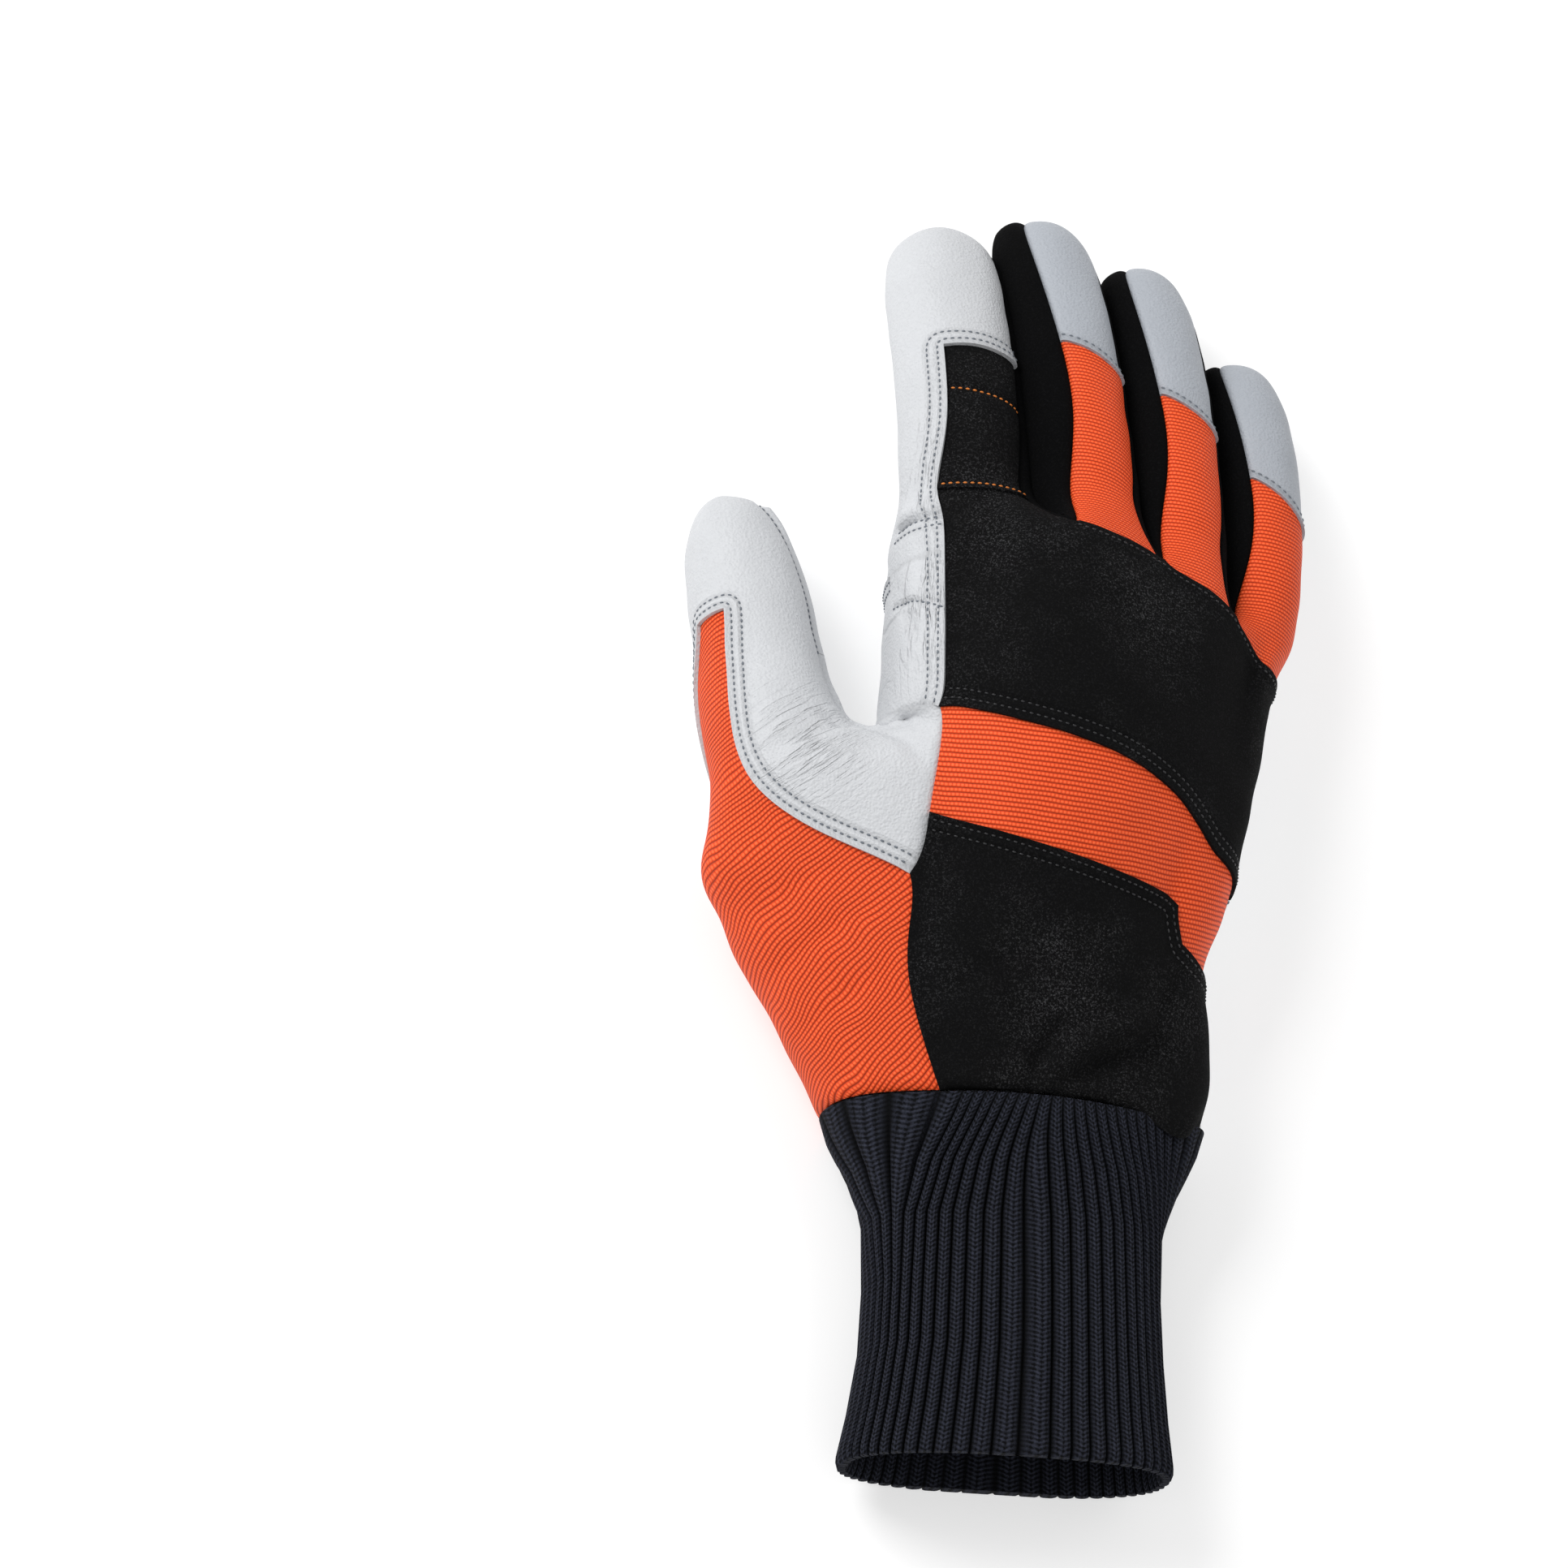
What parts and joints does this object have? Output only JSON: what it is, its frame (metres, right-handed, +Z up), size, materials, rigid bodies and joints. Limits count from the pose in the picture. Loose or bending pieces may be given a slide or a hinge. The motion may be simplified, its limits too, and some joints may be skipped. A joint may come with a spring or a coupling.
{
  "type": "chainsaw glove, right hand",
  "caption": "Right-hand work glove of leather palm, fabric and padded back panels, gusseted fingers and a long ribbed knit cuff, lying on its palm.",
  "frame": {"origin": "middle of the glove's footprint, on the surface that it lies on", "axes": "+X towards the little finger, +Y from the cuff towards the fingertips, +Z up out of the back of the hand"},
  "size_m": [0.1656, 0.3512, 0.07],
  "materials": {
    "leather": "fine-grained white-grey goatskin, satin, soft creases",
    "orange_fabric": "bright orange stretch fabric with fine cross ribs",
    "black_suede": "matt black microsuede over padding, with fine light fibres",
    "black_fabric": "matt black stretch fleece",
    "navy_knit": "dark navy rib knit"
  },
  "bodies": {
    "root": {"finger_leather": "leather", "middle_tip_cap": "leather", "ring_tip_cap": "leather", "little_tip_cap": "leather", "palm_leather": "leather", "thumb_leather": "leather", "index_back_panel": "black_suede", "knuckle_panel": "black_suede", "wrist_panel": "black_suede", "middle_back": "orange_fabric", "ring_back": "orange_fabric", "little_back": "orange_fabric", "back_band": "orange_fabric", "thumb_gusset": "orange_fabric", "index_middle_fourchette": "black_fabric", "middle_ring_fourchette": "black_fabric", "ring_little_fourchette": "black_fabric", "knit_cuff": "navy_knit"}
  },
  "joints": []
}
